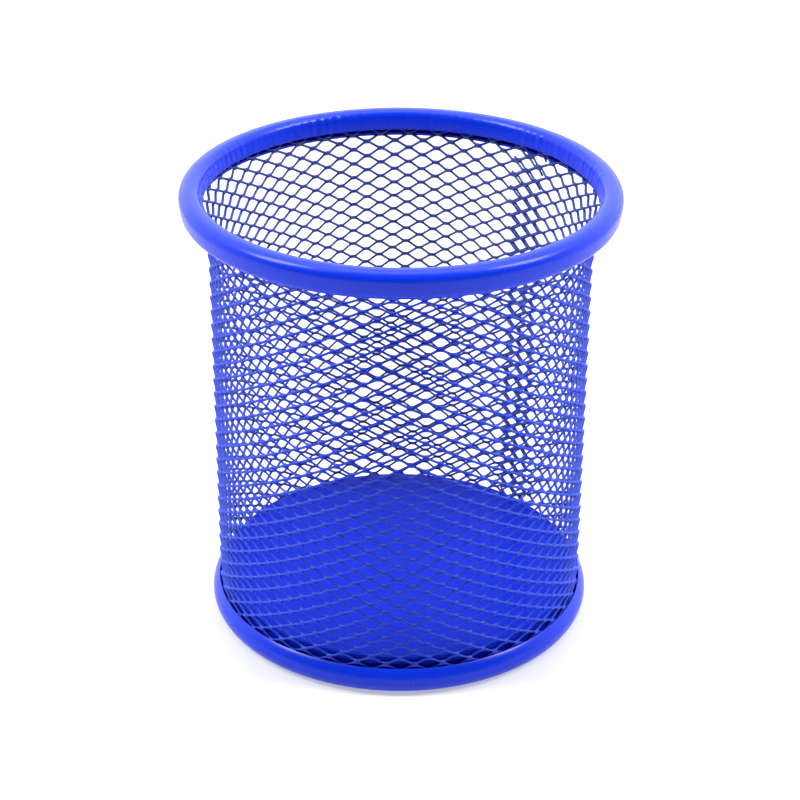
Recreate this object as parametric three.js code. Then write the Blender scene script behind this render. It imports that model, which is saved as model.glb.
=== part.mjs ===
// Round mesh pen cup: an expanded-steel sleeve whose top edge opens out into a hollow rolled rim,
// and whose foot stands in a folded base ring together with the skirt of a solid floor pan.
// Millimetres, +Z up. The origin is the middle of the foot, on the surface the cup stands on.
import * as THREE from "three";

// Driving dimensions.
const CUP_HEIGHT = 100; // foot to crown of the rim
const SLEEVE_RADIUS = 40.3; // outside of the straight mesh wall
const SLEEVE_DEPTH = 0.7; // through the strands, inside to outside
const FLARE_HEIGHT = 20; // the stretch below the crown over which the sleeve opens out
const FLARE_ANGLE = 55; // degrees above level at which the sleeve enters the rim
const RIM_OVERHANG = 5.9; // rim's outer side past the sleeve
const RIM_WIDTH = 4.6; // across the rolled rim
const RIM_HEIGHT = 5.9; // from the rim's underside to its crown
const RIM_ROUNDING = 1.9; // corner radius of the rim's section
const RIM_LEAN = 0.67; // how far the rim's section leans outwards over its height
const RING_BULGE = 2; // base ring's widest line past the sleeve
const RING_HEIGHT = 5.9; // base ring's outer wall
const RING_BELLY = 3; // height of the base ring's widest line
const RING_INNER_HEIGHT = 4.4; // base ring's inner wall, inside the pan's skirt
const RING_ROUNDING = 1.2; // outside radius of the fold between foot and inner wall
const FLOOR_HEIGHT = 8; // top of the floor pan
const PAN_SHEET = 0.6; // coated sheet of the floor pan
const PAN_BEND = 1; // outside radius of the bend between floor and skirt
const BAND = 0.6; // coated strip of the rim and of the base ring
const CLEARANCE = 0.3; // between pieces that meet
const TURNS = 48; // flats around each turned piece
const BEND_STEPS = 2; // flats along half of a quarter bend

// Radii and heights that follow from them.
const sleeveLine = SLEEVE_RADIUS - SLEEVE_DEPTH / 2;
const panRadius = SLEEVE_RADIUS - SLEEVE_DEPTH - CLEARANCE;
const skirtFoot = BAND + 2 * CLEARANCE;
const entry = THREE.MathUtils.degToRad(FLARE_ANGLE);

// The rim's strip bends round four corners. The sleeve's edge ends at the lower inner one.
const rimBend = Math.min(RIM_ROUNDING, RIM_WIDTH / 2, RIM_HEIGHT / 2) - BAND / 2;
const cornersAcross = RIM_WIDTH - BAND - 2 * rimBend;
const cornersUp = RIM_HEIGHT - BAND - 2 * rimBend;
const cornersLean = (RIM_LEAN * cornersUp) / RIM_HEIGHT;
const rimCorner = new THREE.Vector2(
  SLEEVE_RADIUS + RIM_OVERHANG - BAND / 2 - rimBend - cornersAcross - cornersLean,
  CUP_HEIGHT - BAND / 2 - rimBend - cornersUp,
);

// An outline around an open line, half the thickness to each side of it. It closes on itself or on the axis.
function thicken(line, thickness) {
  const side = (reach) => line.map((point, i) => {
    const before = line[Math.max(i - 1, 0)];
    const after = line[Math.min(i + 1, line.length - 1)];
    const along = after.clone().sub(before).normalize();
    return new THREE.Vector2(point.x + along.y * reach, point.y - along.x * reach);
  });
  const outline = [...side(thickness / 2), ...side(-thickness / 2).reverse()];
  return line[0].x > 0 ? [...outline, outline[0].clone()] : outline;
}

// A solid of revolution about Z from an outline of (radius, height) points.
function turn(outline) {
  const geometry = new THREE.LatheGeometry(outline, TURNS);
  geometry.rotateX(Math.PI / 2);
  return geometry;
}

// The sleeve's wall: straight from the foot, one curve that leans out, and a straight edge through the slit.
function sleeveOutline() {
  const wall = new THREE.Path();
  wall.moveTo(sleeveLine, skirtFoot);
  wall.lineTo(sleeveLine, CUP_HEIGHT - FLARE_HEIGHT);
  wall.quadraticCurveTo(
    sleeveLine,
    rimCorner.y - (rimCorner.x - sleeveLine) * Math.tan(entry),
    rimCorner.x - rimBend * Math.cos(entry),
    rimCorner.y - rimBend * Math.sin(entry),
  );
  wall.lineTo(rimCorner.x, rimCorner.y);
  return thicken(wall.getPoints(2 * BEND_STEPS), SLEEVE_DEPTH);
}

// The rim's strip, rolled round from one edge of the slit that the sleeve enters to the other edge.
function rimOutline() {
  const slit = Math.asin((SLEEVE_DEPTH / 2 + CLEARANCE) / (rimBend - BAND / 2));
  const outerCorner = rimCorner.x + cornersAcross;
  const upperCorner = rimCorner.y + cornersUp;
  const strip = new THREE.Path();
  strip.absarc(rimCorner.x, rimCorner.y, rimBend, Math.PI + entry + slit, 1.5 * Math.PI, false);
  strip.absarc(outerCorner, rimCorner.y, rimBend, 1.5 * Math.PI, 2 * Math.PI, false);
  strip.absarc(outerCorner + cornersLean, upperCorner, rimBend, 0, 0.5 * Math.PI, false);
  strip.absarc(rimCorner.x + cornersLean, upperCorner, rimBend, 0.5 * Math.PI, Math.PI, false);
  strip.absarc(rimCorner.x, rimCorner.y, rimBend, Math.PI, Math.PI + entry - slit, false);
  return thicken(strip.getPoints(BEND_STEPS), BAND);
}

// The base ring's strip: down the outside from the lip, round the belly, across the foot, up the inside.
function ringOutline() {
  const lip = SLEEVE_RADIUS + CLEARANCE + BAND / 2;
  const belly = SLEEVE_RADIUS + RING_BULGE - BAND / 2;
  const inner = panRadius - PAN_SHEET - CLEARANCE - BAND / 2;
  const fold = RING_ROUNDING - BAND / 2;
  const strip = new THREE.Path();
  strip.moveTo(lip, RING_HEIGHT);
  strip.quadraticCurveTo(belly, (RING_HEIGHT + RING_BELLY) / 2, belly, RING_BELLY);
  const lowerBulge = [belly - SLEEVE_RADIUS, RING_BELLY - BAND / 2];
  strip.absellipse(SLEEVE_RADIUS, RING_BELLY, ...lowerBulge, 0, -Math.PI / 2, true);
  strip.absarc(inner + fold, BAND / 2 + fold, fold, -Math.PI / 2, -Math.PI, true);
  strip.lineTo(inner, RING_INNER_HEIGHT);
  return thicken(strip.getPoints(BEND_STEPS), BAND);
}

// The floor pan: a flat disc whose edge bends down into a skirt inside the sleeve.
function panOutline() {
  const bend = PAN_BEND - PAN_SHEET / 2;
  const middle = FLOOR_HEIGHT - PAN_SHEET / 2;
  const skirt = panRadius - PAN_SHEET / 2;
  const sheet = new THREE.Path();
  sheet.moveTo(0, middle);
  sheet.lineTo(skirt - bend, middle);
  sheet.absarc(skirt - bend, middle - bend, bend, Math.PI / 2, 0, true);
  sheet.lineTo(skirt, skirtFoot);
  return thicken(sheet.getPoints(BEND_STEPS), PAN_SHEET);
}

function piece(name, outline, color, roughness, metalness) {
  const material = new THREE.MeshStandardMaterial({ color, roughness, metalness });
  const mesh = new THREE.Mesh(turn(outline), material);
  mesh.name = name;
  return mesh;
}

const cup = new THREE.Group();
cup.add(
  piece("rim_bead", rimOutline(), 0x2a40ee, 0.3, 0),
  piece("mesh_sleeve", sleeveOutline(), 0x2236d8, 0.38, 0),
  piece("base_pan", panOutline(), 0x1428d0, 0.35, 0),
  piece("base_ring", ringOutline(), 0x2a40ee, 0.3, 0),
);

export default cup;
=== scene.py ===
"""Round mesh pen cup in royal blue powder coat: expanded sleeve, rolled rim, floor pan and base ring."""

import math

import bmesh
import bpy
import numpy as np
from bpy.props import FloatProperty, FloatVectorProperty, IntProperty, PointerProperty
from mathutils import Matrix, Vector


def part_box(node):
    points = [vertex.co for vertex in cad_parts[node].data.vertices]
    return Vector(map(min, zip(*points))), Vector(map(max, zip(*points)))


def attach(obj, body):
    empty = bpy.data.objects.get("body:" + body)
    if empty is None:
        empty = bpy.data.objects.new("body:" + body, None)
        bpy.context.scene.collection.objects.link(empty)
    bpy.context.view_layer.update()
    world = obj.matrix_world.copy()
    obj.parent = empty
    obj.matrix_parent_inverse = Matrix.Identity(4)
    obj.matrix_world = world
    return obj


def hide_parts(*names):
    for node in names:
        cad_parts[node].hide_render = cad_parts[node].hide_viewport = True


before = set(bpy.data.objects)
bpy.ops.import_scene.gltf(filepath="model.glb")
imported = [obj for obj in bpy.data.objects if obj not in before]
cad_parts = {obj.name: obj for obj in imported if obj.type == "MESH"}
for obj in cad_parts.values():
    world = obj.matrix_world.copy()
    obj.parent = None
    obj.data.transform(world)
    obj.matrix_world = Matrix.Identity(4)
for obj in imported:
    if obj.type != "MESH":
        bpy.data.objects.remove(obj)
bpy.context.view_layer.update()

bl_info = {
    "name": "Mesh Pen Cup",
    "version": (1, 0, 0),
    "blender": (4, 5, 0),
    "location": "View3D > Sidebar > Pen Cup",
    "description": "Models a round desk cup of expanded steel with a rolled rim",
    "category": "Add Mesh",
}

MM = 0.001
BODY = "root"
SLEEVE_DEPTH = 0.7 * MM  # through the strands, as the CAD sleeve has it

RIM_LOW, RIM_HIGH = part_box("rim_bead")
SLEEVE_LOW, SLEEVE_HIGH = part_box("mesh_sleeve")
PAN_LOW, PAN_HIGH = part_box("base_pan")
RING_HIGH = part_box("base_ring")[1]

# Modelling tolerances.
SAME_PLACE = 0.01 * MM  # a section's corner is found within this
TURN_MERGE = 0.001 * MM  # points of a turned piece this close are one
SHEET_MERGE = 0.002 * MM  # points of the expanded sheet this close are one
CUT_TOLERANCE = 0.0005 * MM  # a point this close to a cut lies on it
SMOOTH_ANGLE = 50  # degrees up to which a turned piece is shaded as one surface

# Shares that shape the sheet metal.
STRAND_BENDS = (0.15, 0.7, 0.15)  # a strand's first bend, middle and last bend, as shares of its length
STRAND_RISES = (0.12, 0.76, 0.12)  # how much of its rise each of them takes
CURL_BEND = 0.7  # bend at the rim's inner edge, as a share of the curl's reach
DISH_SHARE = 0.8  # radius of the floor's dished middle, as a share of the floor's
FLARE_STEPS = 60  # points along the curve where the wall opens out

# Sizes in the powder coat.
POOLS = 9 * MM  # places where the coat flowed together
FLOW = 2.4 * MM  # patches of slightly different gloss
PEEL = 1.1 * MM  # lumps of the orange peel
PEEL_DEPTH = 0.002 * MM
SPECKS = 1.3 * MM  # uneven spray on the strands
BOARD_GRAIN = 4 * MM  # grain of the studio floor's paint
LUMP_ROUGHNESS = 0.55  # how much the finer noise counts

# Softboxes: name, place, width and height, watts.
SOFTBOXES = (
    ("softbox_left", (-0.62, -0.08, 0.8), (0.18, 0.42), 6),
    ("softbox_right", (0.62, -0.08, 0.8), (0.18, 0.42), 6),
    ("softbox_top", (0, 0.2, 1.1), (0.8, 0.5), 3),
)
LIGHT_TARGET = Vector((0, 0, 0.05))


def length(name, description, default):
    return FloatProperty(name=name, description=description, default=default, unit="LENGTH", precision=5)


def angle(name, description, degrees):
    radians = math.radians(degrees)
    return FloatProperty(name=name, description=description, default=radians, subtype="ANGLE")


def plain(name, description, default):
    return FloatProperty(name=name, description=description, default=default)


def linear(hex_colour):
    """An sRGB hex colour as the linear colour that shaders and lights work in."""
    shares = [int(hex_colour[i : i + 2], 16) / 255 for i in (1, 3, 5)]
    return tuple(c / 12.92 if c <= 0.04045 else ((c + 0.055) / 1.055) ** 2.4 for c in shares)


def colour(name, description, hex_colour):
    return FloatVectorProperty(
        name=name,
        description=description,
        default=linear(hex_colour),
        subtype="COLOR",
        size=3,
        min=0,
        max=1,
    )


class SleeveSizes(bpy.types.PropertyGroup):
    """The expanded sheet, as it lies flat and as it is rolled."""

    wall_radius: length("Wall radius", "Middle of the sheet where the wall is straight", 39.95 * MM)
    cell_length: length("Cell length", "Long way of a diamond, bond to bond", 6.13 * MM)
    cell_height: length("Cell height", "Short way of a diamond, bond to bond", 3.224 * MM)
    bond_width: length("Bond width", "Across a bond, where two strands lie side by side", 0.98 * MM)
    strand_narrowing: plain("Strand narrowing", "A strand's width as a share of half a bond's", 0.82)
    strand_thickness: length("Strand thickness", "Sheet and coating together", 0.52 * MM)
    bond_length: length("Bond length", "Straight stretch of a bond between two cells", 0.85 * MM)
    strand_tilt: angle("Strand tilt", "How far strands and bonds turn out of the sheet", 50)
    first_bond_along: length("First bond along", "A bond's place, round from the back", -1.67 * MM)
    first_bond_up: length("First bond up", "Height of the lowest row of bonds", 3.14 * MM)
    column_lean: plain("Column lean", "How far the columns lean sideways as they rise", 0.0216)
    row_climb: plain("Row climb", "How far the rows climb as they go round", 0.0103)
    seam_angle: angle("Seam angle", "Middle of the overlap, round from the back", 43.6)
    overlap: length("Overlap", "Width where the sheet's two ends lie on each other", 8.1 * MM)
    start_stretch: length("Start stretch", "Pull of the sheet's first half to the seam", 1.53 * MM)
    start_rise: length("Start rise", "Rise of the sheet's start on the way", -0.25 * MM)
    layer_step: length("Layer step", "Step of each end of the sheet off the wall's middle", 0.25 * MM)
    flare_height: length("Flare height", "Height over which the wall opens out", 20 * MM)
    entry_angle: angle("Entry angle", "Slope of the wall where it enters the rim", 55)
    straight_edge: length("Straight edge", "Straight stretch of the wall inside the rim", 1.6 * MM)


class RimSizes(bpy.types.PropertyGroup):
    """The strip that is rolled into a hollow bead."""

    width: length("Width", "Across the bead", 4.6 * MM)
    lean: length("Lean", "How far the crown stands out past the foot of the section", 0.8 * MM)
    overshoot: length("Overshoot", "Crown's corner past the widest line, before bending", 0.35 * MM)
    foot_bend: length("Foot bend", "Reach of the lower outer bend", 1.4 * MM)
    crown_bend: length("Crown bend", "Reach of the upper outer bend", 2.6 * MM)
    inner_bend: length("Inner bend", "Reach of the upper inner bend", 1.4 * MM)
    curl_rise: length("Curl rise", "Height of the inner edge above the foot", 1.7 * MM)
    curl_reach: length("Curl reach", "How far the inner edge curls back to the sleeve", 0.7 * MM)
    mouth: length("Mouth", "Width of the slit that the sleeve enters, along the foot", 1.4 * MM)
    strip: length("Strip", "Thickness of the coated strip", 0.5 * MM)
    ripple: length("Ripple", "Depth of the small dents on the inner side", 0.09 * MM)
    ripple_pitch: length("Ripple pitch", "Distance between the dents", 2.1 * MM)
    steps: IntProperty(name="Steps", description="Flats round the rim, several to a dent", default=960)


class RingSizes(bpy.types.PropertyGroup):
    """The strip that is folded round the foot of the sleeve and the pan."""

    belly_radius: length("Belly radius", "Outside of the widest line", 42.1 * MM)
    lip_radius: length("Lip radius", "Outside of the upper edge", 40.65 * MM)
    shoulder_height: length("Shoulder height", "Where lip slope and outer wall would meet", 4.9 * MM)
    shoulder_bend: length("Shoulder bend", "How far the bend at the shoulder reaches", 1.7 * MM)
    belly_bend: length("Belly bend", "How far the outer bend to the foot reaches", 2.9 * MM)
    inner_bend: length("Inner bend", "How far the inner bend from the foot reaches", 1.2 * MM)
    inner_radius: length("Inner radius", "Inside of the inner wall", 37.8 * MM)
    inner_height: length("Inner height", "Upper edge of the inner wall", 4.4 * MM)
    strip: length("Strip", "Thickness of the coated strip", 0.35 * MM)
    steps: IntProperty(name="Steps", description="Flats round the ring and the floor pan", default=360)


class PanSizes(bpy.types.PropertyGroup):
    """The pressed floor."""

    sheet: length("Sheet", "Thickness of the coated sheet", 0.6 * MM)
    bend: length("Bend", "How far the bend between floor and skirt reaches", 0.35 * MM)
    dish_bend: length("Dish bend", "How far the bend round the dished middle reaches", 6 * MM)
    sag: length("Sag", "How far pressing dishes the middle of the floor", 0.12 * MM)


class Finishes(bpy.types.PropertyGroup):
    """Colours of the powder coat and of the studio."""

    gloss_blue: colour("Gloss blue", "Rim and base ring", "#0534DC")
    gloss_blue_thick: colour("Thick gloss blue", "Rim and base ring where the coat pooled", "#0430D6")
    # The next two are lit and shaded copies of the strands' blue: the navy one is painted shade for the
    # inward-facing sides, not a thinner coat.
    mesh_blue: colour("Mesh blue", "Outer side of the strands, where the spray lands", "#0A38D0")
    mesh_painted_shade: colour("Mesh shade", "Inner side of the strands, where the coat is thin", "#283F92")
    floor_blue: colour("Floor blue", "Floor pan", "#032CD0")
    floor_blue_thick: colour("Thick floor blue", "Floor pan where the coat pooled", "#0328C6")
    studio_floor: colour("Studio floor", "Ground that the cup stands on", "#BCBCBC")


class StudioSizes(bpy.types.PropertyGroup):
    """Camera and lights."""

    distance: length("Distance", "Camera to the point it looks at", 481.03 * MM)
    elevation: angle("Elevation", "Camera above the horizon", 27.80)
    roll: angle("Roll", "Turn of the camera about its line of sight", 0.3036)
    look_height: length("Look height", "Height of the point that the camera looks at", 48.838 * MM)
    lens: plain("Lens", "Focal length in millimetres on a 36 mm sensor", 99.106)
    floor_size: length("Floor size", "Side of the studio floor", 6.0)


# Modelling helpers.


def deselect_all():
    if bpy.context.object and bpy.context.object.mode != "OBJECT":
        bpy.ops.object.mode_set(mode="OBJECT")
    bpy.ops.object.select_all(action="DESELECT")


def select_alone(piece):
    deselect_all()
    bpy.context.view_layer.objects.active = piece
    piece.select_set(True)


def edit(piece):
    """Enters edit mode on this piece alone, with everything selected."""
    select_alone(piece)
    bpy.ops.object.mode_set(mode="EDIT")
    bpy.ops.mesh.select_all(action="SELECT")


def leave_edit():
    bpy.ops.object.mode_set(mode="OBJECT")


def pick(piece, kind, wanted):
    """In edit mode, selects only the verts, edges or faces for which wanted says yes."""
    mode = {"verts": "VERT", "edges": "EDGE", "faces": "FACE"}[kind]
    bpy.ops.mesh.select_mode(type=mode)
    bpy.ops.mesh.select_all(action="DESELECT")
    mesh = bmesh.from_edit_mesh(piece.data)
    for element in getattr(mesh, kind):
        element.select_set(bool(wanted(element)))
    mesh.select_flush_mode()
    bmesh.update_edit_mesh(piece.data)


def near(place, other):
    return (Vector(place) - Vector(other)).length < SAME_PLACE


def apply_modifier(piece, kind, **settings):
    select_alone(piece)
    modifier = piece.modifiers.new(kind.title(), kind)
    for name, value in settings.items():
        setattr(modifier, name, value)
    bpy.ops.object.modifier_apply(modifier=modifier.name)


def points_of(piece):
    places = np.empty(len(piece.data.vertices) * 3)
    piece.data.vertices.foreach_get("co", places)
    return places.reshape(-1, 3)


def move_points(piece, places):
    piece.data.vertices.foreach_set("co", places.ravel())
    piece.data.update()


def section(name, corners, bends):
    """An open strip's line in the XZ plane, from corner to corner.

    Each bend names the corner that it rounds, its reach and its number of flats.
    """
    deselect_all()
    bpy.ops.mesh.primitive_circle_add(vertices=len(corners), radius=1, fill_type="NOTHING")
    piece = bpy.context.object
    piece.name = piece.data.name = name
    places = [Vector((radius, 0, height)) for radius, height in corners]
    for vertex, place in zip(piece.data.vertices, places):
        vertex.co = place
    edit(piece)
    ends = (places[0], places[-1])
    pick(piece, "edges", lambda edge: all(any(near(v.co, end) for end in ends) for v in edge.verts))
    bpy.ops.mesh.delete(type="EDGE")
    for corner, reach, flats in bends:
        pick(piece, "verts", lambda vertex: near(vertex.co, places[corner]))
        bpy.ops.mesh.bevel(offset=reach, segments=flats, affect="VERTICES", clamp_overlap=False)
    leave_edit()
    return piece


def spin(piece, steps):
    """Turns the section once round the cup's axis."""
    edit(piece)
    bpy.ops.mesh.spin(
        steps=steps,
        angle=2 * math.pi,
        center=(0, 0, 0),
        axis=(0, 0, 1),
        dupli=False,
        use_auto_merge=True,
    )
    bpy.ops.mesh.select_all(action="SELECT")
    bpy.ops.mesh.remove_doubles(threshold=TURN_MERGE)
    bpy.ops.mesh.normals_make_consistent(inside=False)
    leave_edit()


def thicken(piece, thickness):
    apply_modifier(piece, "SOLIDIFY", thickness=thickness, offset=-1, use_even_offset=True)


def smooth(piece):
    """Shades a turned piece smooth but for its cut edges."""
    select_alone(piece)
    bpy.ops.object.shade_smooth_by_angle(angle=math.radians(SMOOTH_ANGLE))


def finish_piece(piece, material, node):
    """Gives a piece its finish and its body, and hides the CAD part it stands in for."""
    piece.data.materials.clear()
    piece.data.materials.append(material)
    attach(piece, BODY)
    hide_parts(node)


# Materials.


def add_node(tree, kind, links=None, **settings):
    """Adds a node. Settings are its properties, and the one called inputs holds its sockets' values."""
    node = tree.nodes.new(kind)
    for name, value in settings.items():
        if name == "inputs":
            for socket, number in value.items():
                node.inputs[socket].default_value = number
        else:
            setattr(node, name, value)
    for socket, source in (links or {}).items():
        tree.links.new(source, node.inputs[socket])
    return node


def new_material(name):
    material = bpy.data.materials.new(name)
    material.use_nodes = True
    material.node_tree.nodes.clear()
    return material, material.node_tree


def powder_coat(name, thin, thick, roughness, specular):
    """Polyester powder coat, sprayed and baked on steel.

    It flows into a glossy skin with a fine orange peel, a little deeper in colour where it pooled.
    """
    material, tree = new_material(name)
    where = add_node(tree, "ShaderNodeTexCoord").outputs["Object"]
    pools, flow, peel = (
        add_node(
            tree,
            "ShaderNodeTexNoise",
            {"Vector": where},
            inputs={"Scale": 1 / lump, "Detail": detail, "Roughness": LUMP_ROUGHNESS},
        )
        for lump, detail in ((POOLS, 2.0), (FLOW, 2.0), (PEEL, 0.0))
    )
    blue = add_node(
        tree,
        "ShaderNodeMix",
        {"Factor": pools.outputs["Fac"]},
        data_type="RGBA",
        inputs={"A": (*thin, 1), "B": (*thick, 1)},
    )
    gloss = add_node(
        tree,
        "ShaderNodeMapRange",
        {"Value": flow.outputs["Fac"]},
        inputs={"To Min": roughness * 0.9, "To Max": roughness * 1.12},
    )
    skin = add_node(
        tree,
        "ShaderNodeBump",
        {"Height": peel.outputs["Fac"]},
        inputs={"Strength": 1.0, "Distance": PEEL_DEPTH},
    )
    shader = add_node(
        tree,
        "ShaderNodeBsdfPrincipled",
        {
            "Base Color": blue.outputs["Result"],
            "Roughness": gloss.outputs["Result"],
            "Normal": skin.outputs["Normal"],
        },
        inputs={"IOR": 1.5, "Specular IOR Level": specular},
    )
    add_node(tree, "ShaderNodeOutputMaterial", {"Surface": shader.outputs["BSDF"]})
    return material


def rolled_band_coat(finishes):
    """Gloss powder coat on rolled steel strip: smooth, with broad soft highlights."""
    return powder_coat(
        "gloss_powder_coat_on_rolled_strip",
        finishes.gloss_blue,
        finishes.gloss_blue_thick,
        roughness=0.26,
        specular=0.28,
    )


def floor_pan_coat(finishes):
    """Semi-gloss powder coat on pressed sheet: flat, deeper blue, with a faint even sheen."""
    return powder_coat(
        "semi_gloss_powder_coat_on_pressed_sheet",
        finishes.floor_blue,
        finishes.floor_blue_thick,
        roughness=0.24,
        specular=0.05,
    )


def expanded_mesh_coat(finishes):
    """Powder coat sprayed on expanded steel from outside.

    It is royal blue on the strands' outward-facing sides, and the navy on the inward-facing ones is
    painted shade, not a thinner coat.
    """
    material, tree = new_material("powder_coat_on_expanded_steel")
    coordinates = add_node(tree, "ShaderNodeTexCoord")
    where = coordinates.outputs["Object"]
    radial = add_node(
        tree,
        "ShaderNodeVectorMath",
        {0: where},
        operation="MULTIPLY",
        inputs={1: (1, 1, 0)},
    )
    outward = add_node(
        tree,
        "ShaderNodeVectorMath",
        {0: radial.outputs["Vector"]},
        operation="NORMALIZE",
    )
    facing = add_node(
        tree,
        "ShaderNodeVectorMath",
        {0: outward.outputs["Vector"], 1: coordinates.outputs["Normal"]},
        operation="DOT_PRODUCT",
    )
    # Painted shade: the more a face turns inward, the more it takes the navy shade colour instead of the
    # lit blue.
    sprayed = add_node(
        tree,
        "ShaderNodeMapRange",
        {"Value": facing.outputs["Value"]},
        interpolation_type="SMOOTHSTEP",
        inputs={"From Min": -0.45, "From Max": 0.35},
    )
    specks = add_node(
        tree,
        "ShaderNodeTexNoise",
        {"Vector": where},
        inputs={"Scale": 1 / SPECKS, "Detail": 2.0, "Roughness": LUMP_ROUGHNESS},
    )
    uneven = add_node(
        tree,
        "ShaderNodeMapRange",
        {"Value": specks.outputs["Fac"]},
        inputs={"To Min": 0.82, "To Max": 1.0},
    )
    # Share of the lit blue: the painted shade by facing, times the random specks.
    lit_share_with_specks = add_node(
        tree,
        "ShaderNodeMath",
        {0: sprayed.outputs["Result"], 1: uneven.outputs["Result"]},
        operation="MULTIPLY",
    )
    blue = add_node(
        tree,
        "ShaderNodeMix",
        {"Factor": lit_share_with_specks.outputs["Value"]},
        data_type="RGBA",
        inputs={"A": (*finishes.mesh_painted_shade, 1), "B": (*finishes.mesh_blue, 1)},
    )
    gloss = add_node(
        tree,
        "ShaderNodeMapRange",
        {"Value": specks.outputs["Fac"]},
        inputs={"To Min": 0.3, "To Max": 0.45},
    )
    shader = add_node(
        tree,
        "ShaderNodeBsdfPrincipled",
        {"Base Color": blue.outputs["Result"], "Roughness": gloss.outputs["Result"]},
        inputs={"IOR": 1.5, "Specular IOR Level": 0.4},
    )
    add_node(tree, "ShaderNodeOutputMaterial", {"Surface": shader.outputs["BSDF"]})
    return material


def studio_floor_paint(finishes):
    """Matt white painted board: even and pale, with only a trace of grain."""
    material, tree = new_material("matt_white_studio_board")
    where = add_node(tree, "ShaderNodeTexCoord").outputs["Object"]
    grain = add_node(
        tree,
        "ShaderNodeTexNoise",
        {"Vector": where},
        inputs={"Scale": 1 / BOARD_GRAIN, "Detail": 2.0, "Roughness": LUMP_ROUGHNESS},
    )
    rough = add_node(
        tree,
        "ShaderNodeMapRange",
        {"Value": grain.outputs["Fac"]},
        inputs={"To Min": 0.85, "To Max": 0.95},
    )
    shader = add_node(
        tree,
        "ShaderNodeBsdfPrincipled",
        {"Roughness": rough.outputs["Result"]},
        inputs={
            "Base Color": (*finishes.studio_floor, 1),
            "Specular IOR Level": 0.1,
            "Emission Color": (1, 1, 1, 1),
            "Emission Strength": 0.42,
        },
    )
    add_node(tree, "ShaderNodeOutputMaterial", {"Surface": shader.outputs["BSDF"]})
    return material


# The expanded sheet.


def model_bond(sizes):
    """One bond and the two strands that leave its right end, open where its neighbours join.

    It is made in its own plane and then turned out of the sheet, as stretching turns the strands.
    """
    half, bond = sizes.bond_width / 2, sizes.bond_length
    across = sizes.cell_length / 2 - bond
    out = sizes.cell_height / 2 * math.sin(sizes.strand_tilt)
    rise = sizes.cell_height / 2 * math.cos(sizes.strand_tilt) - half
    narrow = sizes.strand_narrowing
    widths = (narrow, 1, 1 / narrow)
    deselect_all()
    bpy.ops.mesh.primitive_cube_add(size=1)
    tile = bpy.context.object
    tile.name = tile.data.name = "mesh_sleeve_expanded"
    edit(tile)
    bpy.ops.transform.resize(value=(bond, sizes.strand_thickness, 2 * half))
    bpy.ops.mesh.bisect(plane_co=(0, 0, 0), plane_no=(0, 0, 1))
    for way in (1, -1):
        pick(
            tile,
            "faces",
            lambda face: face.normal.x > 0.9
            and face.calc_center_median().z * way > 0
            and face.calc_center_median().x < bond,
        )
        for along, up, width in zip(STRAND_BENDS, STRAND_RISES, widths):
            step = (across * along, way * out * up, way * rise * up)
            bpy.ops.mesh.extrude_region_move(TRANSFORM_OT_translate={"value": step})
            bpy.ops.transform.resize(value=(1, 1, width))
    pick(tile, "faces", lambda face: abs(face.normal.x) > 0.9)
    bpy.ops.mesh.delete(type="FACE")
    bpy.ops.mesh.select_all(action="SELECT")
    bpy.ops.transform.rotate(value=-sizes.strand_tilt, orient_axis="X", center_override=(0, 0, 0))
    half_cell = (sizes.cell_length / 2, 0, sizes.cell_height / 2)
    bpy.ops.mesh.duplicate_move(TRANSFORM_OT_translate={"value": half_cell})
    bpy.ops.mesh.select_all(action="SELECT")
    bpy.ops.mesh.remove_doubles(threshold=SHEET_MERGE)
    leave_edit()
    return tile


def wall_line(sizes):
    """The rolled wall's middle line, straight and then opening out.

    Returns the lengths up the wall of its points, their radii and their heights.
    """
    crown = RIM_HIGH.z
    start = Vector((sizes.wall_radius, crown - sizes.flare_height))
    slope = Vector((math.cos(sizes.entry_angle), math.sin(sizes.entry_angle)))
    half_depth = SLEEVE_DEPTH / 2
    end = Vector((SLEEVE_HIGH.x - half_depth * slope.y, SLEEVE_HIGH.z - half_depth * slope.x))
    entry = end - slope * sizes.straight_edge
    corner = Vector((start.x, entry.y - (entry.x - start.x) * slope.y / slope.x))
    share = np.linspace(0, 1, FLARE_STEPS)[:, None]
    curve = (1 - share) ** 2 * np.array(start) + share**2 * np.array(entry)
    curve += 2 * share * (1 - share) * np.array(corner)
    line = np.vstack([(start.x, 0), curve, end])
    run = np.concatenate([[0], np.cumsum(np.hypot(*np.diff(line, axis=0).T))])
    return run, line[:, 0], line[:, 1]


def roll_sheet(piece, sizes, along_start, along_end):
    """Rolls the flat sheet about the cup's axis. X goes round, Y outwards and Z up the wall."""
    along, out, up = points_of(piece).T
    run, radii, heights = wall_line(sizes)
    front = -math.pi * sizes.wall_radius
    pulled = np.clip((front - along) / (front - along_start + sizes.start_stretch), 0, 1)
    along = along + pulled * sizes.start_stretch
    up = up + pulled * sizes.start_rise
    lean_from = run[1]
    turn = (along + sizes.column_lean * (up - lean_from)) / sizes.wall_radius
    climb = up + sizes.row_climb * along
    radius = np.interp(climb, run, radii)
    height = np.interp(climb, run, heights)
    step = 0.5 * MM
    slope_r = np.interp(climb + step, run, radii) - np.interp(climb - step, run, radii)
    slope_z = np.interp(climb + step, run, heights) - np.interp(climb - step, run, heights)
    slope = np.hypot(slope_r, slope_z)
    slope_r, slope_z = slope_r / slope, slope_z / slope
    ease = sizes.cell_length
    inner = np.clip((along_start + sizes.overlap + ease - along) / ease, 0, 1)
    outer = np.clip((along - (along_end - sizes.overlap - ease)) / ease, 0, 1)
    out = out + sizes.layer_step * (outer - inner)
    radius = radius + out * slope_z
    height = height - out * slope_r
    move_points(piece, np.stack([radius * np.sin(turn), radius * np.cos(turn), height], axis=1))


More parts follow.
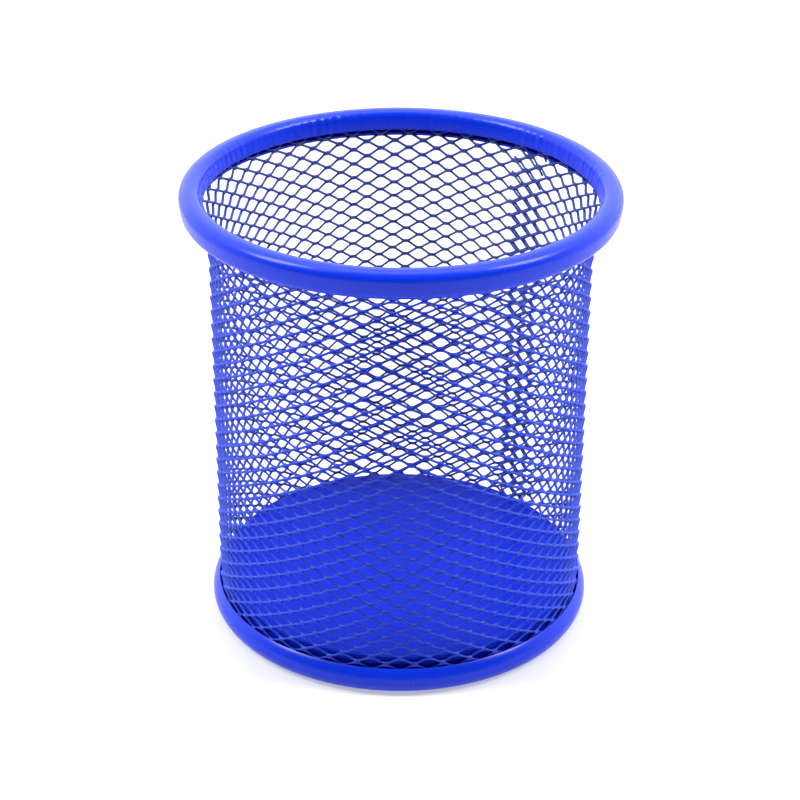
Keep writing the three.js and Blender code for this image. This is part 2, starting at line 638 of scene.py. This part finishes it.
class PENCUP_OT_sleeve(bpy.types.Operator):
    """Cut, stretch and roll the expanded sheet"""

    bl_idname = "pencup.sleeve"
    bl_label = "Mesh Sleeve"

    def execute(self, context):
        sizes = context.scene.pencup_sleeve
        around = 2 * math.pi * sizes.wall_radius
        seam = sizes.seam_angle * sizes.wall_radius
        along_end = seam + sizes.overlap / 2
        along_start = seam - around - sizes.overlap / 2
        run = wall_line(sizes)[0]
        foot, edge, lean_from = SLEEVE_LOW.z, run[-1], run[1]
        flat_start = along_start - sizes.start_stretch
        piece = model_bond(sizes)
        # Spare cells stand past every edge, for the cuts to take off.
        first_column = math.floor((flat_start - sizes.first_bond_along) / sizes.cell_length) - 1
        low_row = -3
        columns = math.ceil((along_end - flat_start) / sizes.cell_length) + 3
        rows = math.ceil((edge - foot) / sizes.cell_height) + 5
        arrays = ((columns, (sizes.cell_length, 0, 0)), (rows, (0, 0, sizes.cell_height)))
        for count, offset in arrays:
            apply_modifier(
                piece,
                "ARRAY",
                count=count,
                use_relative_offset=False,
                use_constant_offset=True,
                constant_offset_displace=offset,
                use_merge_vertices=True,
                merge_threshold=SHEET_MERGE,
            )
        places = points_of(piece)
        places[:, 0] += sizes.first_bond_along + first_column * sizes.cell_length
        places[:, 2] += sizes.first_bond_up + low_row * sizes.cell_height
        move_points(piece, places)
        lean = Vector((1, 0, sizes.column_lean))
        climb = Vector((sizes.row_climb, 0, 1))
        cuts = (
            ((flat_start, 0, lean_from), -lean),
            ((along_end, 0, lean_from), lean),
            ((0, 0, foot), -climb),
            ((0, 0, edge), climb),
        )
        edit(piece)
        bpy.ops.mesh.remove_doubles(threshold=SHEET_MERGE)
        for place, away in cuts:
            bpy.ops.mesh.select_all(action="SELECT")
            bpy.ops.mesh.bisect(
                plane_co=place,
                plane_no=away,
                clear_outer=True,
                threshold=CUT_TOLERANCE,
            )
        bpy.ops.mesh.select_all(action="SELECT")
        bpy.ops.mesh.fill_holes(sides=0)
        bpy.ops.mesh.select_all(action="SELECT")
        bpy.ops.mesh.normals_make_consistent(inside=False)
        if bmesh.from_edit_mesh(piece.data).calc_volume(signed=True) < 0:
            bpy.ops.mesh.flip_normals()
        leave_edit()
        roll_sheet(piece, sizes, along_start, along_end)
        select_alone(piece)
        bpy.ops.object.shade_smooth()
        coat = expanded_mesh_coat(context.scene.pencup_finishes)
        finish_piece(piece, coat, "mesh_sleeve")
        return {"FINISHED"}


class PENCUP_OT_rim(bpy.types.Operator):
    """Roll the strip that closes round the sleeve's upper edge"""

    bl_idname = "pencup.rim"
    bl_label = "Rolled Rim"

    def execute(self, context):
        sizes = context.scene.pencup_rim
        foot, crown = RIM_LOW.z, RIM_HIGH.z
        outer_crown = RIM_HIGH.x + sizes.overshoot
        outer_foot = outer_crown - sizes.lean
        inner_crown = outer_crown - sizes.width
        inner_foot = inner_crown - sizes.lean
        curl = foot + sizes.curl_rise
        corners = (
            (inner_foot + sizes.mouth, foot),
            (outer_foot, foot),
            (outer_crown, crown),
            (inner_crown, crown),
            (inner_foot, curl),
            (inner_foot + sizes.curl_reach, curl),
        )
        bends = (
            (1, sizes.foot_bend, 6),
            (2, sizes.crown_bend, 8),
            (3, sizes.inner_bend, 7),
            (4, sizes.curl_reach * CURL_BEND, 4),
        )
        piece = section("rim_bead_rolled", corners, bends)
        spin(piece, sizes.steps)
        thicken(piece, sizes.strip)
        roll_ripples(piece, sizes)
        smooth(piece)
        coat = rolled_band_coat(context.scene.pencup_finishes)
        finish_piece(piece, coat, "rim_bead")
        return {"FINISHED"}


def roll_ripples(piece, sizes):
    """Small dents round the rim's inner side, uneven as rolling leaves them.

    Two waves of different pitch make the dents, and two slow ones make them deeper and shallower.
    """
    places = points_of(piece)
    turn = np.arctan2(places[:, 0], places[:, 1])
    radius = np.hypot(places[:, 0], places[:, 1])
    middle = RIM_HIGH.x - (sizes.width + sizes.lean) / 2
    inward = np.clip((middle - radius) / (sizes.width / 2), 0, 1)
    waves = 2 * math.pi * middle / sizes.ripple_pitch
    uneven = 0.55 + 0.45 * np.sin(7 * turn + 1.1) * np.sin(3 * turn + 0.4)
    second_height, second_count = 0.6, 0.62  # as shares of the first wave's
    dents = np.sin(round(waves) * turn)
    dents += second_height * np.sin(round(waves * second_count) * turn + 2.0)
    scale = 1 + sizes.ripple * dents * uneven * inward / radius
    places[:, 0] *= scale
    places[:, 1] *= scale
    move_points(piece, places)


class PENCUP_OT_base_ring(bpy.types.Operator):
    """Fold the ring that the cup stands on"""

    bl_idname = "pencup.base_ring"
    bl_label = "Base Ring"

    def execute(self, context):
        sizes = context.scene.pencup_ring
        outer = sizes.belly_radius
        corners = (
            (sizes.lip_radius, RING_HIGH.z),
            (outer, sizes.shoulder_height),
            (outer, 0),
            (sizes.inner_radius, 0),
            (sizes.inner_radius, sizes.inner_height),
        )
        bends = (
            (1, sizes.shoulder_bend, 8),
            (2, sizes.belly_bend, 10),
            (3, sizes.inner_bend, 6),
        )
        piece = section("base_ring_folded", corners, bends)
        spin(piece, sizes.steps)
        thicken(piece, sizes.strip)
        smooth(piece)
        coat = rolled_band_coat(context.scene.pencup_finishes)
        finish_piece(piece, coat, "base_ring")
        return {"FINISHED"}


class PENCUP_OT_floor_pan(bpy.types.Operator):
    """Press the solid floor and its skirt"""

    bl_idname = "pencup.floor_pan"
    bl_label = "Floor Pan"

    def execute(self, context):
        sizes = context.scene.pencup_pan
        radius, top, foot = PAN_HIGH.x, PAN_HIGH.z, PAN_LOW.z
        corners = (
            (0, top - sizes.sag),
            (radius * DISH_SHARE, top),
            (radius, top),
            (radius, foot),
        )
        bends = ((1, sizes.dish_bend, 6), (2, sizes.bend, 6))
        piece = section("base_pan_pressed", corners, bends)
        spin(piece, context.scene.pencup_ring.steps)
        thicken(piece, sizes.sheet)
        smooth(piece)
        coat = floor_pan_coat(context.scene.pencup_finishes)
        finish_piece(piece, coat, "base_pan")
        return {"FINISHED"}


class PENCUP_OT_studio(bpy.types.Operator):
    """Set up the floor, the lights and the camera"""

    bl_idname = "pencup.studio"
    bl_label = "Studio"

    def execute(self, context):
        scene, sizes = context.scene, context.scene.pencup_studio
        deselect_all()
        bpy.ops.mesh.primitive_plane_add(size=sizes.floor_size, location=(0, 0, 0))
        floor = context.object
        floor.name = "studio_floor"
        floor.data.materials.append(studio_floor_paint(scene.pencup_finishes))
        add_world(scene)
        for name, place, size, power in SOFTBOXES:
            bpy.ops.object.light_add(type="AREA", location=place)
            light = context.object
            light.name = name
            light.data.shape = "RECTANGLE"
            light.data.size, light.data.size_y = size
            light.data.energy = power
            towards = LIGHT_TARGET - Vector(place)
            light.rotation_euler = towards.to_track_quat("-Z", "Y").to_euler()
        target = Vector((0, 0, sizes.look_height))
        level, rise = math.cos(sizes.elevation), math.sin(sizes.elevation)
        place = target + sizes.distance * Vector((0, -level, rise))
        bpy.ops.object.camera_add(location=place)
        camera = context.object
        turned = (target - place).to_track_quat("-Z", "Y").to_matrix().to_4x4()
        turned.translation = place
        camera.matrix_world = turned
        camera.rotation_euler.rotate_axis("Z", sizes.roll)
        camera.data.sensor_width = 36
        camera.data.lens = sizes.lens
        camera.data.clip_end = 20
        scene.camera = camera
        return {"FINISHED"}


def add_world(scene):
    """A white sweep behind the cup that falls off to a dim room in front of it."""
    world = bpy.data.worlds.new("studio_light")
    scene.world = world
    world.use_nodes = True
    tree = world.node_tree
    tree.nodes.clear()
    direction = add_node(tree, "ShaderNodeTexCoord").outputs["Generated"]
    parts = add_node(tree, "ShaderNodeSeparateXYZ", {"Vector": direction})
    strength = add_node(
        tree,
        "ShaderNodeMapRange",
        {"Value": parts.outputs["Y"]},
        interpolation_type="SMOOTHSTEP",
        inputs={"From Min": -0.6, "From Max": 0.5, "To Min": 0.07, "To Max": 1.8},
    )
    light = add_node(
        tree,
        "ShaderNodeBackground",
        {"Strength": strength.outputs["Result"]},
        inputs={"Color": (*linear("#FFFFFF"), 1)},
    )
    add_node(tree, "ShaderNodeOutputWorld", {"Surface": light.outputs["Background"]})
    scene.view_settings.view_transform = "Standard"


class PENCUP_PT_panel(bpy.types.Panel):
    """The finishes, the studio and the cup's pieces, in the order they are made"""

    bl_label = "Mesh Pen Cup"
    bl_idname = "PENCUP_PT_panel"
    bl_space_type = "VIEW_3D"
    bl_region_type = "UI"
    bl_category = "Pen Cup"

    def draw(self, context):
        for group, _, operator in PARTS:
            box = self.layout.box()
            if operator:
                box.operator(operator.bl_idname)
            settings = getattr(context.scene, group)
            for name in settings.__annotations__:
                box.prop(settings, name)


# Where the scene keeps each group of settings, the group, and the operator that uses it.
PARTS = (
    ("pencup_finishes", Finishes, None),
    ("pencup_studio", StudioSizes, PENCUP_OT_studio),
    ("pencup_rim", RimSizes, PENCUP_OT_rim),
    ("pencup_ring", RingSizes, PENCUP_OT_base_ring),
    ("pencup_pan", PanSizes, PENCUP_OT_floor_pan),
    ("pencup_sleeve", SleeveSizes, PENCUP_OT_sleeve),
)


def register():
    for name, group, operator in PARTS:
        bpy.utils.register_class(group)
        setattr(bpy.types.Scene, name, PointerProperty(type=group))
        if operator:
            bpy.utils.register_class(operator)
    bpy.utils.register_class(PENCUP_PT_panel)


def unregister():
    bpy.utils.unregister_class(PENCUP_PT_panel)
    for name, group, operator in reversed(PARTS):
        if operator:
            bpy.utils.unregister_class(operator)
        delattr(bpy.types.Scene, name)
        bpy.utils.unregister_class(group)


def main():
    register()
    bpy.ops.pencup.studio()
    bpy.ops.pencup.rim()
    bpy.ops.pencup.base_ring()
    bpy.ops.pencup.floor_pan()
    bpy.ops.pencup.sleeve()


if __name__ == "__main__":
    main()
